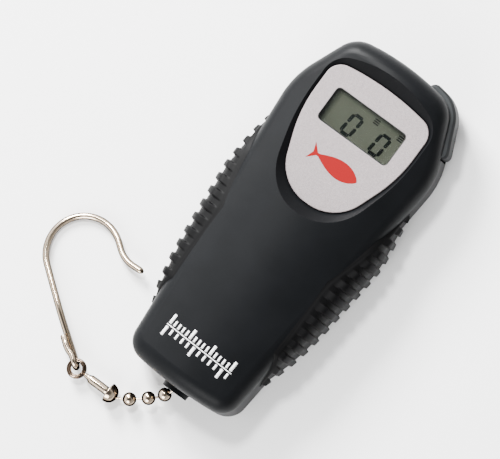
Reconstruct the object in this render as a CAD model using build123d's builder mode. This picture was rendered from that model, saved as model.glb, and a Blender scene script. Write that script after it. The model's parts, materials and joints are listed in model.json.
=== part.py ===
from build123d import *
from math import cos, radians, sin
import os

# Digital fish scale. Millimetres. X runs across the face, Y towards the display end, Z out of the face.
# The origin is the centre of the flat back.

# ---------------------------------------------------------------- driving dimensions
BODY_TOP = 66.9             # top of the crowned display end
BODY_THICK = 25.5           # back to the crest of the face
FACE_CROWN_R = 64.0         # the face is part of a wide cylinder along Y
WALL = 2.0
EDGE_R = 6.0                # rolled edge between the sides and the face
BACK_R = 4.0
PART_Z = 11.5               # joint between the two covers

PLATE_TOP_Z = 21.2          # outer face of the metal face plate
PLATE_T = 0.8
DISH_FLOOR_T = 1.6
DISH_TAPER = 41.0
WINDOW_W = 29.4
WINDOW_H = 13.2
WINDOW_Y = 41.4

GRIP_DEPTH = 1.3            # depth of the pocket that each rubber grip sits in
RIB_COUNT = 15
RIB_PITCH = 5.2
RIB_W = 2.5
RIB_H = 1.2
RIB_TOP_Y = 25.4

BOARD_Z = 13.6
BOARD_T = 1.6
LCD_Z = 16.4
LCD_T = 2.2

CELL_R = 5.25               # AAA cell
CELL_LEN = 44.5
CELL_X = 5.7
CELL_Z = 7.9
CELL_Y = 33.2

DOOR_W = 26.6
DOOR_Y = (10.7, 57.0)
DOOR_Z = (0.3, 1.9)
HINGE_Y = 9.0
HINGE_Z = 1.3
PIN_R = 0.6
PIN_FIT = 0.05

CHAIN_Z = 9.5               # height of the pull line through the bottom end
BEAD_R = 2.4
BEAD_WALL = 0.25
HOLE_R = 0.58
ROD_R = 0.35
HEAD_R = 0.62
HEAD_IN = 1.25              # how far a link's head sits inside the bead's hole
LINK_LEN = 2.4              # hole to hole
PIVOT_R = BEAD_R - BEAD_WALL / 2

WIRE_R = 1.15               # hook wire
RING_R = 2.75
RING_TUBE = 0.8
EYE_R = 2.2
BOW_R = 12.9
SHANK = 34.65
HOOK_TILT = 5.6
HOOK_HEADING = 143.0

BUTTON_Z = (5.0, 16.5)
BUTTON_PROUD = 2.0
BUTTON_X0 = 9.5
BUTTON_Y0 = 48.5
BUTTON_GAP = 0.7            # room for the press travel

COVER_SCREWS = [(-22.3, 38.0), (22.3, 38.0), (-16.6, -56.0), (16.6, -56.0)]
BOARD_SCREWS = [(-15.5, 18.0), (15.5, 18.0), (-15.5, 53.4), (11.5, 57.0)]
ANCHOR_SCREWS = [(-15.5, -20.5), (15.5, -20.5)]

os.makedirs("parts", exist_ok=True)


def save(builder, label):
    """Label a finished piece and write it as one STEP file."""
    builder.part.label = label
    export_step(builder.part, f"parts/{label}.step")


def corners(sketch, x, y):
    """The vertices of a sketch at (x, y) and at its mirror image (-x, y)."""
    return sketch.vertices().filter_by(
        lambda v: abs(abs(v.X) - x) < 0.01 and abs(v.Y - y) < 0.01
    )


def rounded_outline(crown, low_crown, side, radii):
    """A closed outline, mirrored about Y: crowned ends joined by straight runs with rounded corners."""
    with BuildSketch(mode=Mode.PRIVATE) as outline:
        with BuildLine():
            right = [(x, y) for x, y in side]
            left = [(-x, y) for x, y in side]
            ThreePointArc(left[0], (0, crown), right[0])
            Polyline(*right)
            ThreePointArc(right[-1], (0, low_crown), left[-1])
            Polyline(*left[::-1])
        make_face()
        for (x, y), radius in zip(side, radii):
            fillet(corners(outline, x, y), radius)
    return outline.sketch


def envelope(outline, grow, edge_r, back_r):
    """The outline as a solid with a crowned face and rolled edges, grown or shrunk by grow."""
    with BuildPart() as solid:
        with BuildSketch(Plane.XY.offset(-grow)):
            add(outline)
            if grow:
                offset(amount=grow)
        extrude(amount=BODY_THICK + 2 * grow)
        with BuildSketch(Plane.XZ):
            with Locations((0, BODY_THICK - FACE_CROWN_R)):
                Circle(FACE_CROWN_R + grow)
        extrude(amount=100, both=True, mode=Mode.INTERSECT)
        fillet(solid.faces().sort_by(Axis.Z)[-1].edges(), edge_r)
        fillet(solid.faces().sort_by(Axis.Z)[0].edges(), back_r)
    return solid.part


def prism_x(points, radius, end_radius):
    """A leaf in the YZ plane, rounded at its corners and less at its two ends, run across the body."""
    with BuildPart() as solid:
        with BuildSketch(Plane.YZ) as side:
            with BuildLine():
                Polyline(*points, close=True)
            make_face()
            by_length = side.vertices().group_by(Axis.X)
            for group, corner_r in zip(by_length, [end_radius] + [radius] * (len(by_length) - 2) + [end_radius]):
                for spot in [(v.X, v.Y, v.Z) for v in group]:
                    fillet(side.vertices().sort_by_distance(spot)[0], corner_r)
        extrude(amount=60, both=True)
    return solid.part


# ---------------------------------------------------------------- outlines and envelopes
body_outline = rounded_outline(
    BODY_TOP, -66.85,
    [(20.4, 64.6), (30.6, 42.0), (21.4, -65.3)],
    [10.5, 30.0, 7.6],
)
plate_side = [(20.9, 54.2), (20.9, 34.0), (11.6, 9.4)]
PLATE_RADII = [6.0, 50.0, 15.8]
with BuildSketch(mode=Mode.PRIVATE) as plate_sketch:
    with BuildLine():
        ThreePointArc((-20.9, 54.2), (0, 56.5), (20.9, 54.2))
        Polyline(*plate_side, *[(-x, y) for x, y in plate_side[::-1]])
    make_face()
    for (px, py), corner_r in zip(plate_side, PLATE_RADII):
        fillet(corners(plate_sketch, px, py), corner_r)
plate_outline = plate_sketch.sketch

# The grips stand a little wider than the body over the middle of its length.
grip_outline = rounded_outline(
    38.5, -56.5,
    [(28.0, 37.0), (30.7, 5.0), (27.2, -29.0), (21.6, -55.0)],
    [8.0, 60.0, 40.0, 8.0],
)

body_solid = envelope(body_outline, 0, EDGE_R, BACK_R)
cavity = envelope(body_outline, -WALL, EDGE_R - WALL, BACK_R - WALL)
grip_bed = envelope(body_outline, -GRIP_DEPTH, EDGE_R - GRIP_DEPTH, BACK_R - GRIP_DEPTH)
leaf = prism_x([(29.0, 11), (13, 18.9), (-8, 21.6), (-38, 21.4), (-50.8, 11), (-38, 3), (10, 3)], 6, 1.2)
leaf_inner = prism_x(
    [(27.8, 11), (12.5, 17.0), (-8, 19.6), (-37.4, 19.4), (-49.8, 11), (-37.4, 5), (10, 5)], 5, 1.0)

with BuildPart() as grip_pocket_block:
    add(leaf)
    add(grip_bed, mode=Mode.SUBTRACT)
grip_pocket = grip_pocket_block.part

# Corner opening for the button, and the band-shaped button that fills it.
def corner_band(outer, inner, gap, z_low, z_high):
    """The strip between two offsets of the body's outline, kept only at the upper right corner."""
    with BuildPart() as band:
        with BuildSketch(Plane.XY.offset(z_low)):
            add(body_outline)
            offset(amount=outer)
            with BuildSketch(mode=Mode.PRIVATE) as core:
                add(body_outline)
                offset(amount=inner)
            add(core.sketch, mode=Mode.SUBTRACT)
            with Locations((BUTTON_X0 - gap, BUTTON_Y0 - gap)):
                Rectangle(60, 60, align=(Align.MIN, Align.MIN), mode=Mode.INTERSECT)
        extrude(amount=z_high - z_low)
    return band.part


button_slot = corner_band(BUTTON_PROUD + 2, -6.0, BUTTON_GAP, BUTTON_Z[0] - 0.25, BUTTON_Z[1] + 0.25)

# ---------------------------------------------------------------- covers
with BuildPart() as rear_cover:
    add(body_solid)
    add(cavity, mode=Mode.SUBTRACT)
    # bosses for the cover screws, the load-cell bracket, and the battery tray walls
    with BuildSketch(Plane.XY.offset(WALL / 2)):
        with Locations(*COVER_SCREWS):
            Circle(2.7)
    extrude(amount=PART_Z - WALL / 2)
    with BuildSketch(Plane.XY.offset(WALL / 2)):
        with Locations(*ANCHOR_SCREWS):
            Circle(2.6)
    extrude(amount=3.0)
    with BuildSketch(Plane.XY.offset(WALL / 2)):
        with Locations((-13.0, CELL_Y), (13.0, CELL_Y)):
            Rectangle(1.4, CELL_LEN + 7.6)
        with Locations((0, CELL_Y - 25.2), (0, CELL_Y + 25.2)):
            Rectangle(27.4, 1.4)
    extrude(amount=11.0)
    add(body_solid, mode=Mode.INTERSECT)
    # door opening, with a narrow ledge, and the hinge bosses beside the barrel
    with BuildSketch():
        with Locations((0, (7.4 + DOOR_Y[1] + 0.3) / 2)):
            Rectangle(DOOR_W + 0.6, DOOR_Y[1] + 0.3 - 7.4)
    extrude(amount=2.6, mode=Mode.SUBTRACT)
    with BuildSketch(Plane.XY.offset(2.0)):
        with Locations((0, CELL_Y)):
            Rectangle(23.0, CELL_LEN + 3.6)
    extrude(amount=2.0, mode=Mode.SUBTRACT)
    with BuildSketch(Plane.YZ.offset(-12.6)):
        with Locations((HINGE_Y, HINGE_Z)):
            Circle(1.2)
        with Locations((HINGE_Y, HINGE_Z + 1.0)):
            Rectangle(2.4, 2.0)
    extrude(amount=4.2)
    with BuildSketch(Plane.YZ.offset(8.4)):
        with Locations((HINGE_Y, HINGE_Z)):
            Circle(1.2)
        with Locations((HINGE_Y, HINGE_Z + 1.0)):
            Rectangle(2.4, 2.0)
    extrude(amount=4.2)
    with BuildSketch(Plane.YZ.offset(-14)):
        with Locations((HINGE_Y, HINGE_Z)):
            Circle(PIN_R + PIN_FIT)
    extrude(amount=28, mode=Mode.SUBTRACT)
    # pull line outlet, screw holes from the back, button opening, grip pockets
    with BuildSketch(Plane.XZ.offset(60)):
        with Locations((0, CHAIN_Z)):
            Circle(5.0)
    extrude(amount=12, mode=Mode.SUBTRACT)
    with Locations(*[(x, y, PART_Z) for x, y in COVER_SCREWS]):
        Hole(1.15)
    with BuildSketch():
        with Locations(*COVER_SCREWS):
            Circle(2.1)
    extrude(amount=3.0, mode=Mode.SUBTRACT)
    with BuildSketch(Plane.XY.offset(2.6)):
        with Locations(*ANCHOR_SCREWS):
            Circle(0.8)
    extrude(amount=6, mode=Mode.SUBTRACT)
    add(button_slot, mode=Mode.SUBTRACT)
    add(grip_pocket, mode=Mode.SUBTRACT)
    split(bisect_by=Plane.XY.offset(PART_Z), keep=Keep.BOTTOM)
save(rear_cover, "rear_cover")

with BuildPart() as front_cover:
    add(body_solid)
    add(cavity, mode=Mode.SUBTRACT)
    # thick floor and walls of the dish that carries the face plate
    with BuildSketch(Plane.XY.offset(PLATE_TOP_Z - PLATE_T - DISH_FLOOR_T)):
        add(plate_outline)
        offset(amount=0.8)
    extrude(amount=8, taper=-DISH_TAPER)
    with BuildSketch(Plane.XY.offset(PART_Z)):
        with Locations(*COVER_SCREWS):
            Circle(2.7)
    extrude(amount=9)
    with BuildSketch(Plane.XY.offset(BOARD_Z + BOARD_T)):
        with Locations(*BOARD_SCREWS):
            Circle(1.9)
    extrude(amount=6)
    add(body_solid, mode=Mode.INTERSECT)
    with BuildSketch(Plane.XY.offset(PLATE_TOP_Z - PLATE_T)):
        add(plate_outline)
        offset(amount=0.12)
    extrude(amount=8, taper=-DISH_TAPER, mode=Mode.SUBTRACT)
    with BuildSketch(Plane.XY.offset(PLATE_TOP_Z - PLATE_T - DISH_FLOOR_T - 1)):
        with Locations((0, WINDOW_Y)):
            RectangleRounded(WINDOW_W + 0.2, WINDOW_H + 0.2, 1.8)
    extrude(amount=6, mode=Mode.SUBTRACT)
    with BuildSketch(Plane.XZ.offset(60)):
        with Locations((0, CHAIN_Z)):
            Circle(5.0)
    extrude(amount=12, mode=Mode.SUBTRACT)
    with BuildSketch(Plane.XY.offset(PART_Z)):
        with Locations(*COVER_SCREWS):
            Circle(0.95)
    extrude(amount=6.5, mode=Mode.SUBTRACT)
    with BuildSketch(Plane.XY.offset(BOARD_Z)):
        with Locations(*BOARD_SCREWS):
            Circle(0.6)
    extrude(amount=4.5, mode=Mode.SUBTRACT)
    add(button_slot, mode=Mode.SUBTRACT)
    add(grip_pocket, mode=Mode.SUBTRACT)
    split(bisect_by=Plane.XY.offset(PART_Z), keep=Keep.TOP)
save(front_cover, "front_cover")

# ---------------------------------------------------------------- rubber grips
with BuildPart() as grip_base:
    add(envelope(grip_outline, 0, EDGE_R + 0.5, BACK_R))
    add(leaf, mode=Mode.INTERSECT)

with BuildPart() as grip_crest:
    add(envelope(grip_outline, RIB_H, EDGE_R + 0.5, BACK_R))
    add(leaf_inner, mode=Mode.INTERSECT)

with BuildPart() as both_grips:
    add(grip_crest.part)
    with BuildSketch(Plane.XY):
        with Locations(*[(0, RIB_TOP_Y - i * RIB_PITCH) for i in range(RIB_COUNT)]):
            Rectangle(80, RIB_W)
    extrude(amount=BODY_THICK, mode=Mode.INTERSECT)
    add(grip_base.part)
    add(grip_bed, mode=Mode.SUBTRACT)

for index, label in enumerate(["left_grip", "right_grip"]):
    with BuildPart() as grip:
        add(both_grips.solids().sort_by(Axis.X)[index])
    save(grip, label)

# ---------------------------------------------------------------- face plate and display
with BuildPart() as bezel_plate:
    with BuildSketch(Plane.XY.offset(PLATE_TOP_Z - PLATE_T)):
        add(plate_outline)
        with Locations((0, WINDOW_Y)):
            RectangleRounded(WINDOW_W, WINDOW_H, 1.7, mode=Mode.SUBTRACT)
    extrude(amount=PLATE_T)
    fillet(bezel_plate.faces().sort_by(Axis.Z)[-1].outer_wire().edges(), 0.3)
save(bezel_plate, "bezel_plate")

with BuildPart() as display_lens:
    with BuildSketch(Plane.XY.offset(PLATE_TOP_Z - PLATE_T - DISH_FLOOR_T)):
        with Locations((0, WINDOW_Y)):
            RectangleRounded(WINDOW_W - 0.1, WINDOW_H - 0.1, 1.65)
    extrude(amount=PLATE_T + DISH_FLOOR_T - 0.35)
save(display_lens, "display_lens")

with BuildPart() as lcd_glass:
    with Locations((0, WINDOW_Y, LCD_Z)):
        Box(33.0, 17.0, LCD_T, align=(Align.CENTER, Align.CENTER, Align.MIN))
save(lcd_glass, "lcd_glass")

with BuildPart() as lcd_frame:
    with BuildSketch(Plane.XY.offset(BOARD_Z + BOARD_T)):
        with Locations((0, WINDOW_Y)):
            Rectangle(35.4, 19.4)
            Rectangle(33.2, 17.2, mode=Mode.SUBTRACT)
    extrude(amount=PLATE_TOP_Z - PLATE_T - DISH_FLOOR_T - BOARD_Z - BOARD_T)
save(lcd_frame, "lcd_frame")

with BuildPart() as zebra_strips:
    with Locations((0, WINDOW_Y - 7.2, BOARD_Z + BOARD_T), (0, WINDOW_Y + 7.2, BOARD_Z + BOARD_T)):
        Box(31.0, 1.8, LCD_Z - BOARD_Z - BOARD_T, align=(Align.CENTER, Align.CENTER, Align.MIN))
save(zebra_strips, "zebra_strips")

# ---------------------------------------------------------------- electronics
with BuildPart() as circuit_board:
    with BuildSketch(Plane.XY.offset(BOARD_Z)) as board_sketch:
        with Locations((0, 35.2)):
            Rectangle(37.0, 41.0)
        with Locations((6.0, 57.2)):
            Rectangle(15.0, 3.8)
        fillet(board_sketch.vertices(), 0.8)
        with Locations(*BOARD_SCREWS):
            Circle(1.0, mode=Mode.SUBTRACT)
    extrude(amount=BOARD_T)
save(circuit_board, "circuit_board")

with BuildPart() as board_screws:
    with BuildSketch(Plane.XY.offset(BOARD_Z - 1.2)):
        with Locations(*BOARD_SCREWS):
            Circle(1.6)
    extrude(amount=1.2)
    with BuildSketch(Plane.XY.offset(BOARD_Z)):
        with Locations(*BOARD_SCREWS):
            Circle(0.58)
    extrude(amount=4.2)
save(board_screws, "board_screws")

with BuildPart() as controller_chip:
    with Locations((0, 24.0, BOARD_Z + BOARD_T)):
        Box(7.0, 7.0, 1.4, align=(Align.CENTER, Align.CENTER, Align.MIN))
    chamfer(controller_chip.faces().sort_by(Axis.Z)[-1].edges(), 0.3)
save(controller_chip, "controller_chip")

with BuildPart() as board_parts:
    with Locations(*[(x, 21.0, BOARD_Z + BOARD_T) for x in (-10, -7.5, 7.5, 10)]):
        Box(1.2, 2.0, 0.8, align=(Align.CENTER, Align.CENTER, Align.MIN))
    with Locations((-11.0, 27.0, BOARD_Z + BOARD_T)):
        Cylinder(1.6, 2.6, align=(Align.CENTER, Align.CENTER, Align.MIN))
save(board_parts, "board_parts")

# Side-pushed switch under the board's corner, facing the button along the press direction.
PRESS = Vector(-0.72, -0.694, 0)
switch_plane = Plane(origin=(17.2, 53.2, BOARD_Z - 1.9), x_dir=PRESS, z_dir=(0, 0, 1))
with BuildPart() as tact_switch:
    with BuildSketch(switch_plane.offset(-1.9)):
        Rectangle(3.6, 4.6)
    extrude(amount=3.8)
save(tact_switch, "tact_switch")

with BuildPart() as switch_plunger:
    with BuildSketch(switch_plane.offset(-0.9)):
        with Locations((-2.75, 0)):
            Rectangle(0.6, 1.6)
    extrude(amount=1.8)
save(switch_plunger, "switch_plunger")

with BuildPart() as power_button:
    add(corner_band(BUTTON_PROUD, -3.2, 0, BUTTON_Z[0], BUTTON_Z[1]))
    fillet(power_button.faces().sort_by(Axis.Z)[-1].edges().filter_by(
        lambda e: e.center().X + e.center().Y > 78.5), 1.2)
    with BuildSketch(switch_plane.offset(-1.1)):
        with Locations((-3.05, 0)):
            Rectangle(4.4, 3.0, align=(Align.MAX, Align.CENTER))
    extrude(amount=2.6)
save(power_button, "power_button")

# ---------------------------------------------------------------- battery compartment
with BuildPart() as battery_cells:
    with BuildSketch(Plane.XZ.offset(-CELL_Y + CELL_LEN / 2)):
        with Locations((-CELL_X, CELL_Z), (CELL_X, CELL_Z)):
            Circle(CELL_R)
    extrude(amount=-(CELL_LEN - 0.8))
    with BuildSketch(Plane.XZ.offset(-CELL_Y - CELL_LEN / 2)):
        with Locations((-CELL_X, CELL_Z), (CELL_X, CELL_Z)):
            Circle(1.9)
    extrude(amount=0.8)
save(battery_cells, "battery_cells")

with BuildPart() as battery_contacts:
    with Locations((-CELL_X, CELL_Y + CELL_LEN / 2 + 0.9, CELL_Z), (CELL_X, CELL_Y + CELL_LEN / 2 + 0.9, CELL_Z)):
        Box(8.0, 0.4, 7.0)
    with Locations((0, CELL_Y - CELL_LEN / 2 - 1.85, CELL_Z)):
        Box(19.0, 0.4, 7.0)
save(battery_contacts, "battery_contacts")

with BuildPart() as battery_springs:
    for x in (-CELL_X, CELL_X):
        with BuildLine():
            coil = Helix(pitch=0.55, height=1.0, radius=2.6, direction=(0, -1, 0),
                         center=(x, CELL_Y - CELL_LEN / 2 - 0.25, CELL_Z))
        with BuildSketch(Plane(origin=coil @ 0, z_dir=coil % 0)):
            Circle(0.22)
        sweep(path=coil, is_frenet=True)
save(battery_springs, "battery_springs")

with BuildPart() as battery_door:
    with BuildSketch(Plane.XY.offset(DOOR_Z[0])):
        with Locations((0, (DOOR_Y[0] + DOOR_Y[1]) / 2)):
            Rectangle(DOOR_W, DOOR_Y[1] - DOOR_Y[0])
    extrude(amount=DOOR_Z[1] - DOOR_Z[0])
    fillet(battery_door.edges().filter_by(Axis.Z).group_by(Axis.Y)[-1], 1.0)
    with BuildSketch(Plane.YZ.offset(-8.2)):
        with Locations((HINGE_Y, HINGE_Z)):
            Circle(1.0)
        with Locations((HINGE_Y + 1.0, HINGE_Z - 0.2)):
            Rectangle(2.0, 1.6)
    extrude(amount=16.4)
    with BuildSketch(Plane.YZ.offset(-12.2)):
        with Locations((HINGE_Y, HINGE_Z)):
            Circle(PIN_R)
    extrude(amount=24.4)
    # thumb ridges and the latch tongue
    with BuildSketch(Plane.XY.offset(DOOR_Z[0] - 0.25)):
        with Locations(*[(0, 48.0 + i * 1.6) for i in range(4)]):
            Rectangle(10.0, 0.7)
    extrude(amount=0.4)
    with BuildSketch(Plane.XY.offset(DOOR_Z[1])):
        with Locations((0, DOOR_Y[1] - 1.2)):
            Rectangle(8.0, 1.2)
    extrude(amount=0.25)
save(battery_door, "battery_door")

# ---------------------------------------------------------------- load cell and its mounting
CELL_TOP = -27.0
CELL_BOTTOM = -57.0
with BuildPart() as load_cell:
    with BuildSketch(Plane.XY.offset(CHAIN_Z - 4.0)):
        with Locations((0, (CELL_TOP + CELL_BOTTOM) / 2)):
            Rectangle(24, CELL_TOP - CELL_BOTTOM)
        # two opposed slots make the S, and a double hole thins the sensing webs
        with Locations((12, CELL_TOP - 6.5)):
            Rectangle(19, 1.4, align=(Align.MAX, Align.CENTER), mode=Mode.SUBTRACT)
        with Locations((-12, CELL_BOTTOM + 6.5)):
            Rectangle(19, 1.4, align=(Align.MIN, Align.CENTER), mode=Mode.SUBTRACT)
        with Locations((-4, -42), (4, -42)):
            Circle(4.2, mode=Mode.SUBTRACT)
        with Locations((0, -42)):
            Rectangle(8, 3.0, mode=Mode.SUBTRACT)
    extrude(amount=8.0)
    with BuildSketch(Plane.XZ.offset(-CELL_TOP)):
        with Locations((0, CHAIN_Z)):
            Circle(1.5)
    extrude(amount=5.0, mode=Mode.SUBTRACT)
    with BuildSketch(Plane.XZ.offset(-CELL_BOTTOM)):
        with Locations((0, CHAIN_Z)):
            Circle(1.6)
    extrude(amount=-5.0, mode=Mode.SUBTRACT)
save(load_cell, "load_cell")

with BuildPart() as strain_gauges:
    with Locations((-4, CELL_TOP - 7.2 - 0.9, CHAIN_Z + 4.0), (4, CELL_BOTTOM + 7.2 + 0.9, CHAIN_Z + 4.0)):
        Box(4.0, 1.6, 0.15, align=(Align.CENTER, Align.CENTER, Align.MIN))
save(strain_gauges, "strain_gauges")

with BuildPart() as anchor_plate:
    with BuildSketch(Plane.XY.offset(4.0)) as anchor_sketch:
        with Locations((0, -21.0)):
            Rectangle(38, 7.0)
        fillet(anchor_sketch.vertices(), 1.5)
        with Locations(*ANCHOR_SCREWS):
            Circle(1.1, mode=Mode.SUBTRACT)
    extrude(amount=1.5)
    with BuildSketch(Plane.XZ.offset(-(CELL_TOP + 2.5))):
        with Locations((0, 4.0)):
            Rectangle(24, 9.5, align=(Align.CENTER, Align.MIN))
        with Locations((0, CHAIN_Z)):
            Circle(1.65, mode=Mode.SUBTRACT)
    extrude(amount=2.5)
save(anchor_plate, "anchor_plate")

with BuildPart() as anchor_screws:
    with BuildSketch(Plane.XY.offset(5.5)):
        with Locations(*ANCHOR_SCREWS):
            Circle(2.0)
    extrude(amount=1.3)
    with BuildSketch(Plane.XY.offset(2.8)):
        with Locations(*ANCHOR_SCREWS):
            Circle(0.78)
    extrude(amount=2.7)
save(anchor_screws, "anchor_screws")

with BuildPart() as cell_bolt:
    with BuildSketch(Plane.XZ.offset(-(CELL_TOP + 4.7))):
        with Locations((0, CHAIN_Z)):
            RegularPolygon(2.8, 6)
    extrude(amount=2.2)
    with BuildSketch(Plane.XZ.offset(-(CELL_TOP + 2.5))):
        with Locations((0, CHAIN_Z)):
            Circle(1.48)
    extrude(amount=6.8)
save(cell_bolt, "cell_bolt")

# ---------------------------------------------------------------- chain outlet
BEAD_0_Y = -65.3
with BuildPart() as chain_anchor:
    with BuildSketch(Plane.YZ):
        with BuildLine():
            Polyline(
                (-52.2, CHAIN_Z), (-52.2, CHAIN_Z + 1.58), (-57.1, CHAIN_Z + 1.58), (-57.1, CHAIN_Z + 3.2),
                (-59.6, CHAIN_Z + 3.2), (-60.6, CHAIN_Z + 1.6), (-61.4, CHAIN_Z + 0.5),
                (BEAD_0_Y + 1.6, CHAIN_Z + 0.5), (BEAD_0_Y + 1.6, CHAIN_Z + 0.9), (BEAD_0_Y + 0.6, CHAIN_Z + 0.9),
                (BEAD_0_Y + 0.6, CHAIN_Z), close=True)
        make_face()
    revolve(axis=Axis((0, 0, CHAIN_Z), (0, 1, 0)))
save(chain_anchor, "chain_anchor")

with BuildPart() as bushing:
    with BuildSketch(Plane.YZ):
        with BuildLine():
            Polyline(
                (-62.6, CHAIN_Z + 3.1), (-62.6, CHAIN_Z + 6.2), (-64.2, CHAIN_Z + 6.2), (-64.2, CHAIN_Z + 4.95),
                (-66.4, CHAIN_Z + 4.95), (-68.7, CHAIN_Z + 4.8), (-68.7, CHAIN_Z + 3.9), (-67.9, CHAIN_Z + 3.1),
                close=True)
        make_face()
    revolve(axis=Axis((0, 0, CHAIN_Z), (0, 1, 0)))
save(bushing, "bushing")


# ---------------------------------------------------------------- ball chain
def heading(turn, rise):
    """Unit vector at turn degrees from +X about Z, raised by rise degrees."""
    return Vector(cos(radians(rise)) * cos(radians(turn)), cos(radians(rise)) * sin(radians(turn)), sin(radians(rise)))


def bead_at(start, direction):
    """A hollow ball with a hole at each end; start is the middle of the first hole's edge."""
    centre = start + direction * PIVOT_R
    with BuildPart() as bead:
        with Locations(centre):
            Sphere(BEAD_R)
            Sphere(BEAD_R - BEAD_WALL, mode=Mode.SUBTRACT)
        with BuildSketch(Plane(origin=centre, z_dir=direction)):
            Circle(HOLE_R)
        extrude(amount=BEAD_R + 1, both=True, mode=Mode.SUBTRACT)
    return bead


def link_at(start, direction, length):
    """A rod with a round head at each end, each head inside its bead."""
    side = Vector(-direction.Y, direction.X, 0).normalized()
    line = Plane(origin=start, x_dir=direction, z_dir=direction.cross(side))
    with BuildPart() as link:
        with BuildSketch(line):
            with Locations((length / 2, 0)):
                Rectangle(length + 2 * HEAD_IN, 2 * ROD_R)
            with Locations((-HEAD_IN, 0), (length + HEAD_IN, 0)):
                Circle(HEAD_R)
            with Locations((length / 2, 0)):
                Rectangle(20, 4, align=(Align.CENTER, Align.MAX), mode=Mode.SUBTRACT)
        revolve(axis=Axis(start, direction))
    return link


save(bead_at(Vector(0, BEAD_0_Y + PIVOT_R, CHAIN_Z), heading(270, 0)), "bead_0")

# (name, turn, rise) of each piece, from the outlet to the swivel
CHAIN = [
    ("link_1", 240, -14), ("bead_1", 234, -26), ("link_2", 222, -32), ("bead_2", 218, -24),
    ("link_3", 219, -8), ("bead_3", 217, 0), ("link_4", 204, 4),
]
point = Vector(0, BEAD_0_Y - PIVOT_R, CHAIN_Z)
for name, turn, rise in CHAIN:
    step = heading(turn, rise)
    print(name, [round(v, 2) for v in point], [round(v, 4) for v in step])
    if name.startswith("bead"):
        save(bead_at(point, step), name)
        point = point + step * (2 * PIVOT_R)
    else:
        save(link_at(point, step, LINK_LEN), name)
        point = point + step * LINK_LEN
swivel = point
print("swivel", [round(v, 2) for v in swivel])

# ---------------------------------------------------------------- swivel
# The bell caps the last link; the barrel turns in it about a line along -X.
SX, SY, SZ = swivel.X, swivel.Y, swivel.Z


def turned(points):
    """A profile of (distance along -X from the swivel point, radius), turned about the swivel line."""
    with BuildPart() as shape:
        with BuildSketch(Plane.XZ.offset(-SY)):
            with BuildLine():
                Polyline(*[(SX - d, SZ + r) for d, r in points], close=True)
            make_face()
        revolve(axis=Axis((0, SY, SZ), (1, 0, 0)))
    return shape


bell = turned([
    (-0.12, HOLE_R), (-0.12, 1.2), (0.5, 2.4), (1.5, 3.15), (2.6, 3.5), (3.3, 3.55), (3.3, 3.1),
    (2.9, 3.0), (2.9, 0.95), (2.6, 0.95), (2.6, 2.4), (1.3, 2.1), (0.4, 1.4), (0.13, 0.9), (0.13, HOLE_R),
])
save(bell, "swivel_bell")

RING_X = 16.9               # swivel point to the ring's centre
barrel = turned([
    (2.1, 0.0), (2.1, 1.3), (2.5, 1.3), (2.5, 0.85), (3.05, 0.85), (3.2, 1.25), (3.5, 1.45), (4.2, 1.55),
    (10.6, 1.55), (11.2, 1.3), (11.9, 0.95), (RING_X - RING_R - 0.3, 0.8), (RING_X - RING_R - 0.3, 0.0),
])
save(barrel, "swivel_barrel")

ring_centre = Vector(SX - RING_X, SY, SZ)
with BuildPart() as swivel_ring:
    with Locations(ring_centre):
        Torus(RING_R, RING_TUBE)
save(swivel_ring, "swivel_ring")

# ---------------------------------------------------------------- hook
out = heading(HOOK_HEADING, 0)
eye_point = ring_centre + out * RING_R
hook_x = heading(HOOK_HEADING, -HOOK_TILT)
hook_side = Vector(out.Y, -out.X, 0)
hook_plane = Plane(origin=eye_point, x_dir=hook_x, z_dir=hook_x.cross(hook_side))


def hook_point(s, t, h=0.0):
    """A point given along the shank, across towards the bow, and up from the eye's centre."""
    return hook_plane.from_local_coords(Vector(s, t, -h))


lip = radians(40)
lip_r = 5.7
bow_end = SHANK - 4.3
lip_s = bow_end - lip_r * sin(lip)
lip_t = 2 * BOW_R + lip_r * (1 - cos(lip))
TIP = 6.2
with BuildPart() as hook:
    with BuildLine() as hook_path:
        Line(hook_point(0, 0, EYE_R), hook_point(SHANK, 0, EYE_R))
        ThreePointArc(
            hook_point(SHANK, 0, EYE_R), hook_point(SHANK + BOW_R, BOW_R, EYE_R), hook_point(SHANK, 2 * BOW_R, EYE_R))
        Line(hook_point(SHANK, 2 * BOW_R, EYE_R), hook_point(bow_end, 2 * BOW_R, EYE_R))
        ThreePointArc(
            hook_point(bow_end, 2 * BOW_R, EYE_R),
            hook_point(bow_end - lip_r * sin(lip / 2), 2 * BOW_R + lip_r * (1 - cos(lip / 2)), EYE_R),
            hook_point(lip_s, lip_t, EYE_R))
        Line(hook_point(lip_s, lip_t, EYE_R),
             hook_point(lip_s - TIP * cos(lip), lip_t + TIP * sin(lip), EYE_R))
    with BuildSketch(Plane(origin=hook_path.line @ 0, z_dir=hook_path.line % 0)):
        Circle(WIRE_R)
    sweep(path=hook_path.line)
    with BuildLine() as eye_path:
        ThreePointArc(hook_point(0, 0, EYE_R), hook_point(-EYE_R, 0, 0), hook_point(0, 0, -EYE_R))
    with BuildSketch(Plane(origin=eye_path.line @ 0, z_dir=eye_path.line % 0)):
        Circle(WIRE_R)
    sweep(path=eye_path.line)
    with BuildLine() as tail_path:
        FilletPolyline(
            hook_point(0, 0, -EYE_R), hook_point(1.8, 0, -EYE_R), hook_point(5.6, -2.5, 0.2),
            hook_point(11.6, -2.5, 0.9), radius=[1.6, 1.6])
    with BuildSketch(Plane(origin=tail_path.line @ 0, z_dir=tail_path.line % 0)):
        Circle(WIRE_R)
    sweep(path=tail_path.line)
    # the point is turned down to a short blunt cone
    tip_edge = hook.edges().filter_by(GeomType.CIRCLE).sort_by_distance(hook_path.line @ 1)[0]
    chamfer(tip_edge, 1.3, 0.75)
save(hook, "hook")
print("ring", [round(v, 2) for v in ring_centre], "hook low", round(hook.part.bounding_box().min.Z, 3))

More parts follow.
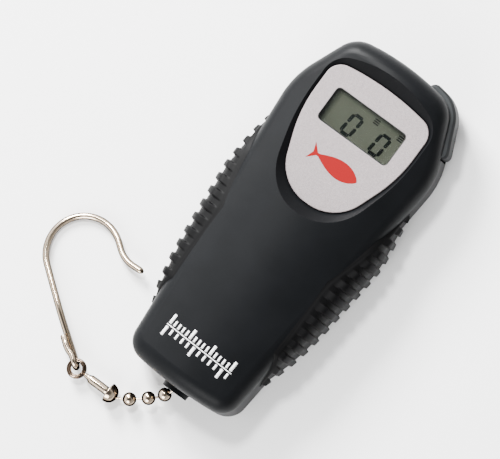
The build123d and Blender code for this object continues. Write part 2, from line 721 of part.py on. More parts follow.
# ---------------------------------------------------------------- cover screws
with BuildPart() as cover_screws:
    with BuildSketch(Plane.XY.offset(1.4)):
        with Locations(*COVER_SCREWS):
            Circle(1.9)
    extrude(amount=1.6)
    with BuildSketch(Plane.XY.offset(3.0)):
        with Locations(*COVER_SCREWS):
            Circle(0.93)
    extrude(amount=PART_Z + 5.5 - 3.0)
    with BuildSketch(Plane.XY.offset(1.4)):
        with Locations(*COVER_SCREWS):
            Rectangle(2.4, 0.5)
            Rectangle(0.5, 2.4)
    extrude(amount=0.8, mode=Mode.SUBTRACT)
save(cover_screws, "cover_screws")
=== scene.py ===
import json
from math import cos, pi, radians, sin

import bpy
import numpy as np
from mathutils import Matrix, Vector


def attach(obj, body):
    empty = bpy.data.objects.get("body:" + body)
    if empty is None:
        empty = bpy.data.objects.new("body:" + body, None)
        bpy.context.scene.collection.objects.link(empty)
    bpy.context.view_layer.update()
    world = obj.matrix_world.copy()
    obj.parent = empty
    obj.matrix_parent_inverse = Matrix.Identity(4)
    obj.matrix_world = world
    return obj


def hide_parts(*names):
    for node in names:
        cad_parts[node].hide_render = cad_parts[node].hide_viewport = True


# Digital fish scale lying on its back on a pale floor. Metres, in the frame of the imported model:
# X across the face, Y towards the display end, Z out of the face. Shapes are given in millimetres.
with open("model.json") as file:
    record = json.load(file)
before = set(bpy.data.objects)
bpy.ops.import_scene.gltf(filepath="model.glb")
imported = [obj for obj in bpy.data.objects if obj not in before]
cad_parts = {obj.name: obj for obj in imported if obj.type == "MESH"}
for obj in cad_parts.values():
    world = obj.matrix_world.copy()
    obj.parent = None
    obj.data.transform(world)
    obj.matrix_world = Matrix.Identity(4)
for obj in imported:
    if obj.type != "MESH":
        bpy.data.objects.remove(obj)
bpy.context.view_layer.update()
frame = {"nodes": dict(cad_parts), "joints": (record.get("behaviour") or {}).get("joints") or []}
NODES = frame["nodes"]
MM = 0.001


# ---------------------------------------------------------------- materials
MIX_FACTOR, MIX_LOW, MIX_HIGH, MIX_COLOUR = 0, 6, 7, 2      # sockets of a Mix node set to colour


def srgb(hex_value):
    """The linear colour of an sRGB hex value."""
    parts = [int(hex_value[i:i + 2], 16) / 255 for i in (0, 2, 4)]
    return tuple(c / 12.92 if c <= 0.04045 else ((c + 0.055) / 1.055) ** 2.4 for c in parts) + (1.0,)


def feed(tree, target, inputs):
    """Set a node's inputs, given by name or number: a socket is linked, and anything else is the value."""
    for key, value in inputs.items():
        if isinstance(value, bpy.types.NodeSocket):
            tree.links.new(value, target.inputs[key])
        else:
            target.inputs[key].default_value = value


def node(tree, kind, inputs, **properties):
    """Add one node with its properties and its inputs."""
    made = tree.nodes.new(kind)
    for name, value in properties.items():
        setattr(made, name, value)
    feed(tree, made, inputs)
    return made


def new_material(name, **principled):
    """A material, its node tree and Principled shader, and the object coordinates for its patterns."""
    material = bpy.data.materials.new(name)
    material.use_nodes = True
    tree = material.node_tree
    shader = tree.nodes["Principled BSDF"]
    feed(tree, shader, {key.replace("_", " "): value for key, value in principled.items()})
    place = node(tree, "ShaderNodeTexCoord", {}).outputs["Object"]
    return material, tree, shader, place


def pattern(place, size_mm, detail):
    """Inputs of a noise texture with features of a size in millimetres."""
    return {"Vector": place, "Scale": 1.0 / (size_mm * MM), "Detail": detail}


def between(factor, low, high):
    """Inputs of a colour Mix node between two sRGB hex values."""
    return {MIX_FACTOR: factor, MIX_LOW: srgb(low), MIX_HIGH: srgb(high)}


def moulded_finish(name, low, high, rough, spark_mm=0.18, spark_depth=0.02):
    """Dark moulded plastic or rubber: very fine spark-eroded grain and faint handling marks.

    The marks are patches some 14 mm across that shift both colour and gloss. The low specular level
    is that of a soft-touch coat, which scatters most of what falls on it. Real grain is about 0.05 mm,
    too fine to show, so it is drawn several times coarser."""
    material, tree, shader, place = new_material(name, Specular_IOR_Level=0.06)
    grain = node(tree, "ShaderNodeTexNoise", pattern(place, spark_mm, 4.0)).outputs["Fac"]
    smudge = node(tree, "ShaderNodeTexNoise", pattern(place, 14.0, 3.0)).outputs["Fac"]
    colour = node(tree, "ShaderNodeMix", between(smudge, low, high), data_type="RGBA")
    gloss = node(tree, "ShaderNodeMapRange", {"Value": smudge, "To Min": rough - 0.05,
                                              "To Max": rough + 0.07})
    bump = node(tree, "ShaderNodeBump", {"Height": grain, "Strength": 0.35, "Distance": spark_depth * MM})
    feed(tree, shader, {"Base Color": colour.outputs[MIX_COLOUR], "Roughness": gloss.outputs["Result"],
                        "Normal": bump.outputs["Normal"]})
    return material


def plated_metal(name, edge, low, high):
    """Bright plate over metal: mirror-like, with faint drawing marks and wear, and painted shade at grazing
    angles standing in for dark surroundings reflected at a wire's edges.

    Colour and gloss both change over patches of some 7 mm, as where a wire has been handled."""
    material, tree, shader, place = new_material(name, Metallic=1.0, Specular_Tint=srgb("5a4a40"))
    cloud = node(tree, "ShaderNodeTexNoise", pattern(place, 7.0, 2.0)).outputs["Fac"]
    face_on = node(tree, "ShaderNodeMix", between(cloud, low, high), data_type="RGBA")
    # painted shade: towards grazing angles the colour goes to the edge colour, a painted reflection of dark
    # surroundings
    graze = node(tree, "ShaderNodeLayerWeight", {"Blend": 0.45}).outputs["Facing"]
    edge_shade_share = node(tree, "ShaderNodeMapRange", {"Value": graze, "From Min": 0.1, "From Max": 0.38})
    colour = node(tree, "ShaderNodeMix", {MIX_FACTOR: edge_shade_share.outputs["Result"], MIX_HIGH: srgb(edge),
                                          MIX_LOW: face_on.outputs[MIX_COLOUR]}, data_type="RGBA")
    gloss = node(tree, "ShaderNodeMapRange", {"Value": cloud, "To Min": 0.1, "To Max": 0.22})
    bump = node(tree, "ShaderNodeBump", {"Height": cloud, "Strength": 0.1, "Distance": 0.01 * MM})
    feed(tree, shader, {"Base Color": colour.outputs[MIX_COLOUR], "Roughness": gloss.outputs["Result"],
                        "Normal": bump.outputs["Normal"]})
    return material


def satin_aluminium():
    """Bead-blasted lacquered aluminium sheet: pale silver with a fine sparkle of blast pits.

    Real pits are under 0.1 mm across and would not show, so they are drawn at 0.22 mm."""
    material, tree, shader, place = new_material("satin_aluminium", Metallic=0.2, Roughness=0.45)
    pits = node(tree, "ShaderNodeTexNoise", {**pattern(place, 0.22, 3.0), "Roughness": 0.7}).outputs["Fac"]
    sharp = node(tree, "ShaderNodeMapRange", {"Value": pits, "From Min": 0.3, "From Max": 0.7})
    colour = node(tree, "ShaderNodeMix", between(sharp.outputs["Result"], "5f5757", "918889"),
                  data_type="RGBA")
    bump = node(tree, "ShaderNodeBump", {"Height": pits, "Strength": 0.4, "Distance": 0.03 * MM})
    feed(tree, shader, {"Base Color": colour.outputs[MIX_COLOUR], "Normal": bump.outputs["Normal"]})
    return material


def clear_acrylic():
    """Cast acrylic window: clear and glossy, slightly green, with a faint haze where it has been wiped."""
    material, tree, shader, place = new_material(
        "clear_acrylic", Base_Color=srgb("f2f7f2"), IOR=1.49, Transmission_Weight=1.0)
    wiped = node(tree, "ShaderNodeTexNoise", pattern(place, 5.0, 3.0)).outputs["Fac"]
    haze = node(tree, "ShaderNodeMapRange", {"Value": wiped, "To Min": 0.02, "To Max": 0.06})
    feed(tree, shader, {"Roughness": haze.outputs["Result"]})
    return material


def lcd_reflector():
    """Twisted-nematic display: an olive-grey polariser over a diffuse reflector.

    It carries painted shade under the left and far walls of the window: bands over X and Y darken it there."""
    material, tree, shader, place = new_material("lcd_reflector", Roughness=0.35, IOR=1.5)
    cloud = node(tree, "ShaderNodeTexNoise", pattern(place, 0.3, 2.0)).outputs["Fac"]
    lit = node(tree, "ShaderNodeMix", between(cloud, "45463c", "504f45"), data_type="RGBA")
    split = node(tree, "ShaderNodeSeparateXYZ", {"Vector": place}).outputs
    left = node(tree, "ShaderNodeMapRange", {"Value": split["X"], "From Min": -14.1 * MM,
                                             "From Max": -11.8 * MM})
    far = node(tree, "ShaderNodeMapRange", {"Value": split["Y"], "From Min": 47.5 * MM,
                                            "From Max": 46.2 * MM})
    # painted shade: the two bands multiplied give 0 under the walls, where the colour goes to near-black, and
    # 1 elsewhere
    unshaded_share = node(tree, "ShaderNodeMath", {0: left.outputs["Result"], 1: far.outputs["Result"]},
                     operation="MULTIPLY")
    colour = node(tree, "ShaderNodeMix", {MIX_FACTOR: unshaded_share.outputs[0], MIX_LOW: srgb("1b1c19"),
                                          MIX_HIGH: lit.outputs[MIX_COLOUR]}, data_type="RGBA")
    feed(tree, shader, {"Base Color": colour.outputs[MIX_COLOUR]})
    return material


def speckled(name, low, high, size_mm, rough, metallic=0.0, depth=0.0):
    """A plain finish: two close colours mixed by noise of one size, with an optional bump in millimetres."""
    material, tree, shader, place = new_material(name, Roughness=rough, Metallic=metallic)
    noise = node(tree, "ShaderNodeTexNoise", pattern(place, size_mm, 3.0)).outputs["Fac"]
    colour = node(tree, "ShaderNodeMix", between(noise, low, high), data_type="RGBA")
    feed(tree, shader, {"Base Color": colour.outputs[MIX_COLOUR]})
    if depth:
        bump = node(tree, "ShaderNodeBump", {"Height": noise, "Strength": 0.4, "Distance": depth * MM})
        feed(tree, shader, {"Normal": bump.outputs["Normal"]})
    return material


def screen_ink(name, low, high):
    """Screen-printed ink: an even, almost dull colour with slight mottling from the screen's mesh."""
    material, tree, shader, place = new_material(name, Roughness=0.5, Specular_IOR_Level=0.1)
    mottle = node(tree, "ShaderNodeTexNoise", pattern(place, 0.4, 2.0)).outputs["Fac"]
    colour = node(tree, "ShaderNodeMix", between(mottle, low, high), data_type="RGBA")
    feed(tree, shader, {"Base Color": colour.outputs[MIX_COLOUR]})
    return material


# what the eye sees: a deep black shell with a soft highlight, duller and coarser rubber, two greys of ABS
SHELL = moulded_finish("soft_touch_abs", "08090a", "0d0e10", 0.4)
RUBBER = moulded_finish("moulded_rubber", "030303", "070708", 0.5, spark_mm=0.3, spark_depth=0.03)
NYLON = moulded_finish("black_nylon", "060708", "0b0c0e", 0.4)
GREY_TEXTURED = moulded_finish("textured_grey_abs", "151617", "222324", 0.55, spark_mm=0.35, spark_depth=0.05)
GREY_SMOOTH = moulded_finish("smooth_grey_abs", "242627", "323435", 0.36)
# flat marks on the display, plate and shell
INK_BLUE = screen_ink("lcd_segment", "04060a", "080b12")
INK_RED = screen_ink("red_print", "6a0003", "740004")
INK_WHITE = screen_ink("white_print", "e6e6e6", "f2f2f2")
# bright chain and hook, duller brownish wire on the eye, cool zinc on the screws, yellow brass; the first
# colour of each is painted shade, which they turn to at grazing angles
NICKEL = plated_metal("bright_nickel_plate", "1e140d", "bfa88e", "f0dec8")
WORN = plated_metal("worn_nickel_wire", "0a0604", "5c4c40", "8a7868")
ZINC = plated_metal("bright_zinc_plate", "3a3c40", "a9adb2", "c9ccd0")
BRASS = plated_metal("drawn_brass", "3d2c10", "b08d4a", "cfae68")
ALUMINIUM = satin_aluminium()
ACRYLIC = clear_acrylic()
LCD = lcd_reflector()
# the window's lining, and what lies inside
BLACK_LINE = speckled("black_gasket", "08090a", "0d0e10", 0.4, 0.55)
INNER_ABS = speckled("plain_inner_abs", "1c1d20", "26272b", 1.5, 0.5, depth=0.01)
FIBREGLASS = speckled("green_solder_mask", "0d3a20", "14502c", 0.8, 0.35, depth=0.01)
EPOXY = speckled("epoxy_package", "121214", "1b1b1e", 0.2, 0.6, depth=0.01)
CELL_ALLOY = speckled("milled_aluminium", "9a9da0", "b9bcbf", 0.5, 0.4, metallic=0.9, depth=0.01)
BATTERY_WRAP = speckled("shrink_wrap", "6d2a1c", "7d3524", 2.0, 0.3)
GAUGE_FOIL = speckled("amber_gauge_film", "a8742c", "c08c3c", 0.6, 0.35)
ZEBRA = speckled("layered_elastomer", "5b5c60", "707176", 0.1, 0.7)

FINISHES = {
    SHELL: ("rear_cover", "front_cover", "battery_door"),
    RUBBER: ("left_grip", "right_grip"),
    NICKEL: ("bead_0", "bead_1", "bead_2", "bead_3", "link_1", "link_2", "link_3", "link_4", "swivel_bell",
             "swivel_barrel", "swivel_ring", "hook", "battery_contacts", "battery_springs"),
    ZINC: ("anchor_screws", "cover_screws", "board_screws", "cell_bolt", "anchor_plate"),
    BRASS: ("chain_anchor",),
    ALUMINIUM: ("bezel_plate",),
    ACRYLIC: ("display_lens",),
    LCD: ("lcd_glass",),
    GREY_TEXTURED: ("power_button",),
    NYLON: ("bushing", "switch_plunger"),
    INNER_ABS: ("lcd_frame", "tact_switch"),
    FIBREGLASS: ("circuit_board",),
    EPOXY: ("controller_chip", "board_parts"),
    CELL_ALLOY: ("load_cell",),
    BATTERY_WRAP: ("battery_cells",),
    GAUGE_FOIL: ("strain_gauges",),
    ZEBRA: ("zebra_strips",),
}
for finish, names in FINISHES.items():
    for name in names:
        NODES[name].data.materials.clear()
        NODES[name].data.materials.append(finish)


# ---------------------------------------------------------------- making meshes from arrays
def mesh_piece(name, points_mm, faces, material, body, stands_for=(), smooth=True):
    """A piece from an array of points in millimetres and its faces; it rides on a body."""
    mesh = bpy.data.meshes.new(name)
    mesh.from_pydata((np.asarray(points_mm, float) * MM).tolist(), [],
                     [[int(i) for i in face] for face in faces])
    mesh.materials.append(material)
    mesh.polygons.foreach_set("use_smooth", np.full(len(mesh.polygons), smooth))
    mesh.update()
    piece = bpy.data.objects.new(name, mesh)
    bpy.context.scene.collection.objects.link(piece)
    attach(piece, body)
    if stands_for:
        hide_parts(*stands_for)
    return piece


def grid_faces(rows, cols, loop_rows=False, loop_cols=False):
    """Quads of a grid of points stored row by row; a looped side joins its last line to its first."""
    r = np.arange(rows if loop_rows else rows - 1)[:, None]
    c = np.arange(cols if loop_cols else cols - 1)[None, :]
    r1 = (r + 1) % rows
    c1 = (c + 1) % cols
    quads = np.stack([r * cols + c, r * cols + c1, r1 * cols + c1, r1 * cols + c], axis=-1)
    return quads.reshape(-1, 4)


def unit(v):
    """Rows of v scaled to length one."""
    v = np.asarray(v, float)
    return v / np.linalg.norm(v, axis=-1, keepdims=True)


def smoothstep(t):
    """0 below 0, 1 above 1, and an S curve between."""
    t = np.clip(t, 0, 1)
    return t * t * (3 - 2 * t)


def soft_run(x, corners, k, sign=1):
    """Height at x of a run of straight lines through corners of (x, height), bent over about k at each.

    It is the lowest of the lines, or with sign -1 the highest, less k times the log of the sum of
    each line's exp(-(its distance from the lowest) / k)."""
    lines = np.array([sign * (y0 + (x - x0) * (y1 - y0) / (x1 - x0))
                      for (x0, y0), (x1, y1) in zip(corners, corners[1:])])
    low = lines.min(axis=0)
    return sign * (low - k * np.log(np.exp(-(lines - low) / k).sum(axis=0)))


def tube(path, radius, reference, sides=20):
    """Rings of a given radius round each path point. The reference is a direction the path never takes.

    Each ring lies across the local tangent, its first axis is the reference less its tangent part,
    and its second axis is their cross product. The ends are closed by rings of almost no radius."""
    path = np.asarray(path, float)
    reference = np.asarray(reference, float)
    tangent = unit(np.gradient(path, axis=0))
    first = unit(reference - (tangent @ reference)[:, None] * tangent)
    second = np.cross(tangent, first)
    radius = np.concatenate([[1e-4], np.broadcast_to(radius, len(path)), [1e-4]])
    path, first, second = (np.vstack([rows[:1], rows, rows[-1:]]) for rows in (path, first, second))
    turn = np.linspace(0, 2 * pi, sides, endpoint=False)
    ring = first[:, None, :] * np.cos(turn)[None, :, None] + second[:, None, :] * np.sin(turn)[None, :, None]
    points = path[:, None, :] + ring * radius[:, None, None]
    return points.reshape(-1, 3), grid_faces(len(path), sides, loop_cols=True)


def turned(profile, start, axis, sides=48):
    """A profile of (distance along the axis, radius) swept in full circles round the axis."""
    axis = unit(axis)
    across = unit(np.cross(axis, (0.0, 0.3, 1.0)))
    other = np.cross(axis, across)
    profile = np.asarray(profile, float)
    turn = np.linspace(0, 2 * pi, sides, endpoint=False)
    ring = across * np.cos(turn)[:, None] + other * np.sin(turn)[:, None]
    points = np.asarray(start) + profile[:, :1, None] * axis + profile[:, 1:2, None] * ring
    return points.reshape(-1, 3), grid_faces(len(profile), sides, loop_cols=True)


def rounded_profile(corners, cut, steps=5):
    """A run of straight lines with each corner replaced by a short quadratic curve.

    The curve starts and ends a cut's length from the corner, or 0.45 of the line where that is less."""
    corners = np.asarray(corners, float)
    out = [corners[:1]]
    t = np.linspace(0, 1, steps)[:, None]
    for before, here, after in zip(corners[:-2], corners[1:-1], corners[2:]):
        reach_in = min(cut, 0.45 * np.linalg.norm(before - here))
        reach_out = min(cut, 0.45 * np.linalg.norm(after - here))
        p0 = here + unit(before - here) * reach_in
        p2 = here + unit(after - here) * reach_out
        out.append((1 - t) ** 2 * p0 + 2 * t * (1 - t) * here + t ** 2 * p2)
    out.append(corners[-1:])
    return np.vstack(out)


def joined(parts):
    """Several (points, faces) pairs as one."""
    points, faces, count = [], [], 0
    for part_points, part_faces in parts:
        points.append(part_points)
        faces.append(np.asarray(part_faces) + count)
        count += len(part_points)
    return np.vstack(points), np.vstack(faces)


# ---------------------------------------------------------------- rubber grips
BODY_THICK = 25.5
CROWN_R = 64.0
CROWN_Z = BODY_THICK - CROWN_R          # height of the crowned face's axis
GRIP_EDGE_R = 6.5
GRIP_Y = (-49.85, 27.25)
# corners of (y, half-width) of the side, and of (y, height) of the pad's upper and lower borders
GRIP_HALF_WIDTH = ((37, 28.0), (5, 30.7), (-29, 27.2), (-55, 21.6))
GRIP_UPPER = ((29, 11), (13, 18.9), (-8, 21.6), (-38, 21.4), (-50.8, 11))
GRIP_LOWER = ((29, 11), (10, 3), (-38, 3), (-50.8, 11))
GRIP_SKIN = 0.25                        # how far the pad stands out between its ribs
GRIP_TUCK = 3.0                         # how far its borders turn in
RIB_TOP_Y = 25.4
RIB_PITCH = 5.2
RIB_H = 1.2
RIB_FOOT = 1.7                          # half-width of a rib at its foot
RIB_FLANK = 0.65
RIB_FADE = 1.7                          # length of the fade at a rib's ends
RIB_GAP = 0.4                           # bare length between the pad's border and the fade
SKIN_ROUND = 0.5                        # the skin reaches its height over this length
PAD_ENDS = (-50.2, 27.6)                # where distance from the pad's two ends is counted from


def crown_height(x):
    """Height of the crowned face at x."""
    return CROWN_Z + np.sqrt(CROWN_R ** 2 - np.asarray(x) ** 2)


def grip_piece(sign, name):
    """One ribbed side grip, as a grid over (place along Y, share of the way from lower to upper border).

    The base is the body's side, rolled over on a 6.5 mm radius into the crowned face. Its half-width
    and both borders are straight runs with rounded corners. Each rib is a smooth step up and down
    along Y, and fades out before the border. The first and last columns turn in under the border."""
    y = np.linspace(*GRIP_Y, 560)[:, None]
    half = soft_run(y, GRIP_HALF_WIDTH, 0.25)
    high = soft_run(y, GRIP_UPPER, 0.3)
    low = soft_run(y, GRIP_LOWER, 0.3, sign=-1)
    share = np.sin(np.linspace(0, pi / 2, 40)) ** 1.2
    z = low + (high - low) * share[None, :]
    # the rolled edge's centre, and where it meets the crown
    centre_x = half - GRIP_EDGE_R
    centre_z = CROWN_Z + np.sqrt((CROWN_R - GRIP_EDGE_R) ** 2 - centre_x ** 2)
    meet_z = CROWN_Z + CROWN_R * (centre_z - CROWN_Z) / (CROWN_R - GRIP_EDGE_R)
    on_side, on_roll = z < centre_z, z < meet_z
    rolled = centre_x + np.sqrt(np.maximum(GRIP_EDGE_R ** 2 - (z - centre_z) ** 2, 0))
    crowned = np.sqrt(np.maximum(CROWN_R ** 2 - (z - CROWN_Z) ** 2, 0))
    x = np.where(on_side, half, np.where(on_roll, rolled, crowned))
    nx = np.where(on_side, 1.0, np.where(on_roll, (x - centre_x) / GRIP_EDGE_R, x / CROWN_R))
    nz = np.where(on_side, 0.0, np.where(on_roll, (z - centre_z) / GRIP_EDGE_R, (z - CROWN_Z) / CROWN_R))
    from_rib = np.abs((y - RIB_TOP_Y + RIB_PITCH / 2) % RIB_PITCH - RIB_PITCH / 2)
    rib = smoothstep((RIB_FOOT - from_rib) / RIB_FLANK)
    # distance inside the pad, counted faster from its lower border and its two ends
    from_ends = np.minimum(PAD_ENDS[1] - y, y - PAD_ENDS[0]) * 2.0
    inside = np.minimum(np.minimum((z - low) * 1.4, high - z), from_ends)
    fade = smoothstep((inside - RIB_GAP) / RIB_FADE)
    lift = RIB_H * rib * fade + GRIP_SKIN * smoothstep(inside / SKIN_ROUND)
    x = x + nx * lift
    z = z + nz * lift
    x = np.hstack([x[:, :1] - GRIP_TUCK, x, x[:, -1:] - GRIP_TUCK])
    z = np.hstack([z[:, :1], z, z[:, -1:]])
    points = np.stack([sign * x, np.broadcast_to(y, x.shape), z], axis=-1).reshape(-1, 3)
    faces = grid_faces(*x.shape)
    if sign > 0:
        faces = faces[:, ::-1]
    return mesh_piece(name, points, faces, RUBBER, "housing", [name.replace("_rubber", "")])


grip_piece(-1, "left_grip_rubber")
grip_piece(1, "right_grip_rubber")

# ---------------------------------------------------------------- corner button
CORNER_R = 10.5
CORNER = np.array([13.06, 55.34])       # centre of the body's rounded corner
SIDE_NORMAL = np.array([0.9115, 0.4113])
TOP_CENTRE = np.array([0.0, -24.72])    # centre of the crowned display end
TOP_R = 91.62
BUTTON_START_X = 9.6                    # where the button starts on the display end
BUTTON_SIDE_Y = (59.66, 49.2)           # where its side run starts and ends
BUTTON_PROUD = 2.0
BUTTON_SUNK = 0.9                       # how far its ends dip below the body's surface
BUTTON_DEPTH = 2.2                      # how far its inner rows lie inside
BUTTON_ROUNDS = (2.6, 2.8)              # length of the round at its start and at its end
BUTTON_SKEW = (6.0, 0.4)                # length of the skewed end, and its slope
# corners of (distance out, height), from inside the slot over the lip and down to the slot again
BUTTON_SECTION = ((-3.0, 16.4), (0.9, 16.4), (1.0, 16.4), (2.0, 15.2), (2.0, 6.0), (1.0, 5.05), (-3.0, 5.05))
BUTTON_LIP_COLUMNS = 9                  # the section's first columns, which are smooth


def button_piece():
    """The corner button, as a grid over (place along the body's outline, place round its section).

    The path runs along the crowned end, round the corner and down the side. The section goes from
    inside the slot over a flat lip, round the outer edge, down the side face and back in."""
    start_turn = np.arcsin(BUTTON_START_X / TOP_R)
    meet = np.arctan2(CORNER[0], CORNER[1] - TOP_CENTRE[1])
    side_turn = np.arctan2(SIDE_NORMAL[1], SIDE_NORMAL[0])
    side_length = (BUTTON_SIDE_Y[0] - BUTTON_SIDE_Y[1]) / SIDE_NORMAL[0]
    top_length = TOP_R * (meet - start_turn)
    arc_length = CORNER_R * (pi / 2 - meet - side_turn)
    total = top_length + arc_length + side_length
    d = total * 0.5 * (1 - np.cos(np.linspace(0, pi, 90)))
    turn = np.where(d < top_length, pi / 2 - start_turn - d / TOP_R,
                    np.maximum(pi / 2 - meet - (d - top_length) / CORNER_R, side_turn))
    normal = np.stack([np.cos(turn), np.sin(turn)], axis=-1)
    past = np.maximum(d - top_length - arc_length, 0)[:, None]
    along_side = np.array([SIDE_NORMAL[1], -SIDE_NORMAL[0]])
    outline = np.where((d < top_length)[:, None], TOP_CENTRE + normal * TOP_R,
                       CORNER + normal * CORNER_R + past * along_side)
    # how far the button stands out: full height less a round at each end
    start_round = np.sqrt(1 - np.clip(1 - d / BUTTON_ROUNDS[0], 0, 1) ** 2)
    end_round = np.sqrt(1 - np.clip(1 - (total - d) / BUTTON_ROUNDS[1], 0, 1) ** 2)
    full = np.minimum(start_round, end_round)
    proud = BUTTON_PROUD * full - BUTTON_SUNK * (1 - full)
    section = rounded_profile(BUTTON_SECTION, 0.5)
    out = np.where(section[:, 0] > -2.9, section[:, 0] - BUTTON_PROUD + proud[:, None], -BUTTON_DEPTH)
    flat = outline[:, None, :] + normal[:, None, :] * out[:, :, None]
    # the lower end is cut square to the body's length, so outer points sit further down the side
    skew_length, slope = BUTTON_SKEW
    skew = smoothstep((d - total + skew_length) / skew_length)[:, None] * (out + BUTTON_DEPTH) * slope
    flat = flat + skew[:, :, None] * along_side
    height = np.broadcast_to(section[:, 1], out.shape)
    points = np.concatenate([flat, height[:, :, None]], axis=-1)
    piece = mesh_piece("button_cap", points.reshape(-1, 3), grid_faces(*out.shape)[:, ::-1], GREY_TEXTURED,
                       "power_button", ["power_button"])
    piece.data.materials.append(GREY_SMOOTH)
    rows, columns = out.shape
    lip = np.tile(np.arange(columns - 1) < BUTTON_LIP_COLUMNS, rows - 1)
    piece.data.polygons.foreach_set("material_index", lip.astype(np.int32))
    return piece


button_piece()

# ---------------------------------------------------------------- prints and display marks
PLATE_TOP = 21.2
LCD_TOP = 18.6
WINDOW_Y = 41.4
WINDOW_BOX = (29.4, 13.2, 1.7)          # width, height and corner radius
LENS_BOX = (28.7, 12.5, 1.35)
LINING_THICK = 0.3
DIGIT_LEAN = sin(radians(6.0))
DIGIT_BOX = (4.9, 8.7, 1.25)            # width, height and thickness of a segment
DIGIT_X = (-3.4, 8.3)
DIGIT_DROP = 1.7                        # the noughts sit this far below the window's middle
SEGMENT_GAP = 0.18
FLAG_X = (3.0, 13.0)                    # two small unit flags, drawn as plain bars
FLAG_RISE = 4.9
FLAG_PITCH = 0.75
FISH_BOX = (19.5, 6.4)
FISH_PLACE = (0.2, 25.0)


def slabs(name, shapes, low, high, material, centre=(0, 0), stands_for=()):
    """Thin flat shapes, each a list of (x, y) going anticlockwise, given a small thickness."""
    points, faces = [], []
    for shape in shapes:
        first, n = len(points), len(shape)
        points += [(x + centre[0], y + centre[1], z) for z in (low, high) for x, y in shape]
        faces.append([first + n + i for i in range(n)])
        faces.append([first + n - 1 - i for i in range(n)])
        faces += [[first + i, first + (i + 1) % n, first + n + (i + 1) % n, first + n + i] for i in range(n)]
    return mesh_piece(name, points, faces, material, "housing", stands_for, smooth=False)


def bar(p, q, width, point):
    """A six-sided display segment from p to q, pointed by that share of its half-width at both ends."""
    p, q = np.array(p, float), np.array(q, float)
    run = unit(q - p)
    side = np.array([-run[1], run[0]]) * width / 2
    nose = run * width / 2 * point
    return [tuple(v) for v in (p, p + nose - side, q - nose - side, q, q - nose + side, p + nose + side)]


def zero_digit(x, y, wide, tall, thick, lean):
    """The six lit segments of a seven-segment nought, leaning to the right."""
    gap = SEGMENT_GAP
    half, up = wide / 2 - thick / 2, tall / 2 - thick / 2
    ends = [((-half + gap, up), (half - gap, up)),
            ((half, up - gap), (half, gap)),
            ((half, -gap), (half, -up + gap)),
            ((half - gap, -up), (-half + gap, -up)),
            ((-half, -up + gap), (-half, -gap)),
            ((-half, gap), (-half, up - gap))]
    return [[(x + px + (py * lean), y + py) for px, py in bar(p, q, thick, 0.6)] for p, q in ends]


def round_box(wide, tall, corner):
    """A rounded rectangle about the origin, going anticlockwise."""
    out = []
    for quarter, (sx, sy) in enumerate(((1, 1), (-1, 1), (-1, -1), (1, -1))):
        for t in np.linspace(0, pi / 2, 8) + quarter * pi / 2:
            out.append((sx * (wide / 2 - corner) + corner * cos(t),
                        sy * (tall / 2 - corner) + corner * sin(t)))
    return out


def window_ring():
    """The black lining of the window: two walls and a top rim, from just over the display to the plate."""
    rings = []
    foot = LCD_TOP + 0.05
    for inset, z in ((0.02, foot), (0.02, PLATE_TOP - 0.08), (LINING_THICK, PLATE_TOP - 0.12),
                     (LINING_THICK, foot)):
        wide, tall, corner = WINDOW_BOX
        shape = np.array(round_box(wide - 2 * inset, tall - 2 * inset, corner - inset))
        rings.append(np.column_stack([shape[:, 0], shape[:, 1] + WINDOW_Y, np.full(len(shape), z)]))
    faces = grid_faces(len(rings), len(rings[0]), loop_rows=True, loop_cols=True)
    return mesh_piece("window_lining", np.vstack(rings), faces[:, ::-1], BLACK_LINE, "housing")


def display_shapes():
    """The lit segments of two noughts, and two flags of three short bars."""
    shapes = []
    for x in DIGIT_X:
        shapes += zero_digit(x, WINDOW_Y - DIGIT_DROP, *DIGIT_BOX, DIGIT_LEAN)
    for x in FLAG_X:
        for row in range(3):
            y = WINDOW_Y + FLAG_RISE - row * FLAG_PITCH
            shapes.append(bar((x - 1.2, y), (x + 1.0, y), 0.4, 0.3))
    return shapes


def fish_outline(length, height):
    """A plain fish: two arcs for the body that cross into a tail."""
    t = np.linspace(0, 1, 25)
    top = [(length * (0.5 - 0.86 * v), height * 0.5 * max(sin(pi * v ** 0.8) ** 0.9, 0.17)) for v in t[1:-1]]
    nose = [(length * 0.5, 0.0)]
    tail = [(-length * 0.36, 0.5), (-length * 0.5, height * 0.5), (-length * 0.44, 0.0),
            (-length * 0.5, -height * 0.5), (-length * 0.36, -0.5)]
    bottom = [(x, -y) for x, y in top[::-1]]
    return nose + top + tail + bottom


window_ring()
slabs("window_lens", [round_box(*LENS_BOX)], LCD_TOP + 0.4, PLATE_TOP - 0.35, ACRYLIC,
      (0, WINDOW_Y), ["display_lens"])
slabs("display_segments", display_shapes(), LCD_TOP - 0.02, LCD_TOP + 0.04, INK_BLUE)
slabs("plate_mark", [fish_outline(*FISH_BOX)], PLATE_TOP - 0.01, PLATE_TOP + 0.03, INK_RED,
      FISH_PLACE)

SCALE_Y = -51.5                         # middle of the scale's long line, which it is turned about
SCALE_TURN = radians(-2.0)
LONG_LINE = (-13.3, 14.6)               # its two ends
LONG_LINE_HALF = 0.16                   # half its width
FIRST_TICK_X = -12.6
# count, pitch, y of the foot, and which way the ticks point; every fifth tick is longer and wider
TICK_ROWS = ((16, 1.75, -50.9, 1), (12, 2.39, -52.1, -1))
TICK = (0.75, 2.0)                      # width and length
FIFTH_TICK = (1.0, 3.6)
INK_LIFT = 0.015
INK_THICK = 0.02


def strip(x, y0, y1):
    """Two rows of points over the same x values."""
    return np.vstack([np.stack([x, 0 * x + y, 0 * x], axis=-1) for y in (y0, y1)])


